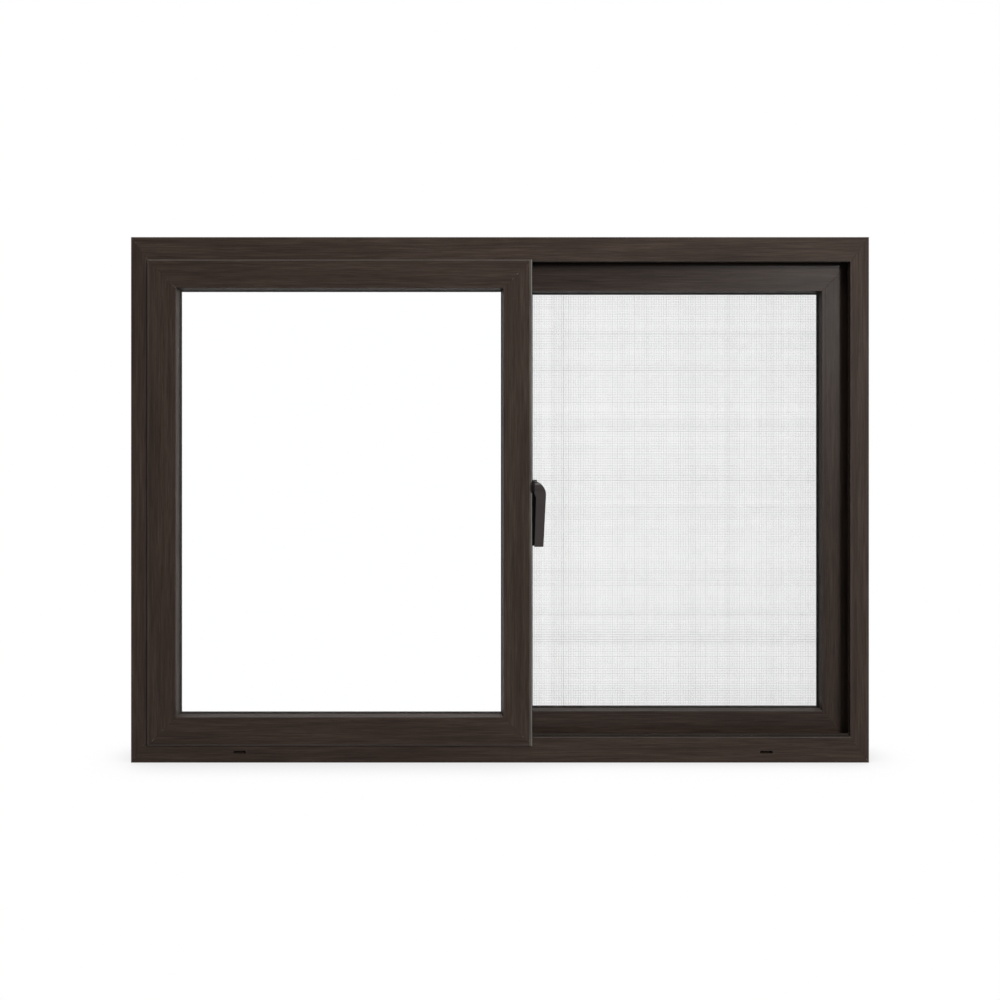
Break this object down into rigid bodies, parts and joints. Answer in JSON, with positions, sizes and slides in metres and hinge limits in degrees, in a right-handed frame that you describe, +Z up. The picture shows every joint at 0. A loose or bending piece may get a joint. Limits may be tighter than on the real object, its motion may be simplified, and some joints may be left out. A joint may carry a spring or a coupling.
{
  "type": "sliding window",
  "caption": "Horizontal sliding window with dark woodgrain profiles, clear panes, a lever latch on the meeting stile and a sliding insect screen",
  "frame": {"origin": "on the underside of the sill, in the middle of its length and depth", "axes": "+X to the right as seen from the room, +Y from the room to the outside, +Z up"},
  "size_m": [1.39, 0.1185, 0.99],
  "materials": {
    "profile": "woodgrain foil",
    "glass": "clear",
    "gasket": "matt",
    "track": "bronze anodised",
    "roller": "moulded",
    "pile": "brush",
    "latch_case": "moulded",
    "latch_lever": "satin",
    "screen_bar": "satin",
    "mesh": "open mesh"
  },
  "bodies": {
    "frame": {"frame_head": "profile", "frame_sill": "profile", "frame_left_jamb": "profile", "frame_right_jamb": "profile", "front_track": "track", "rear_track": "track"},
    "front_sash": {"front_left_stile": "profile", "front_top_rail": "profile", "front_meeting_stile": "profile", "front_bottom_rail": "profile", "front_interlock": "profile", "front_bead_left": "profile", "front_bead_top": "profile", "front_bead_right": "profile", "front_bead_bottom": "profile", "front_glass": "glass", "front_gaskets": "gasket", "front_rollers": "roller", "meeting_pile": "pile", "latch_base": "latch_case"},
    "latch_lever": {"latch_lever": "latch_lever"},
    "rear_sash": {"rear_meeting_stile": "profile", "rear_top_rail": "profile", "rear_right_stile": "profile", "rear_bottom_rail": "profile", "rear_interlock": "profile", "rear_bead_left": "profile", "rear_bead_top": "profile", "rear_bead_right": "profile", "rear_bead_bottom": "profile", "rear_glass": "glass", "rear_gaskets": "gasket", "rear_rollers": "roller"},
    "insect_screen": {"screen_left_bar": "screen_bar", "screen_top_bar": "screen_bar", "screen_right_bar": "screen_bar", "screen_bottom_bar": "screen_bar", "screen_mesh": "mesh", "screen_spline": "gasket", "screen_glides": "roller"}
  },
  "joints": [
    {"name": "front_sash_slide", "type": "slide", "parent": "frame", "child": "front_sash", "axis": [1, 0, 0], "range_m": [0, 0.565]},
    {"name": "rear_sash_slide", "type": "slide", "parent": "frame", "child": "rear_sash", "axis": [-1, 0, 0], "range_m": [0, 0.65]},
    {"name": "screen_slide", "type": "slide", "parent": "frame", "child": "insect_screen", "axis": [-1, 0, 0], "range_m": [0, 0.7]},
    {"name": "latch_turn", "type": "hinge", "parent": "front_sash", "child": "latch_lever", "pos_m": [0.07, -0.057, 0.52], "axis": [-1, 0, 0], "range_deg": [0, 180]}
  ]
}
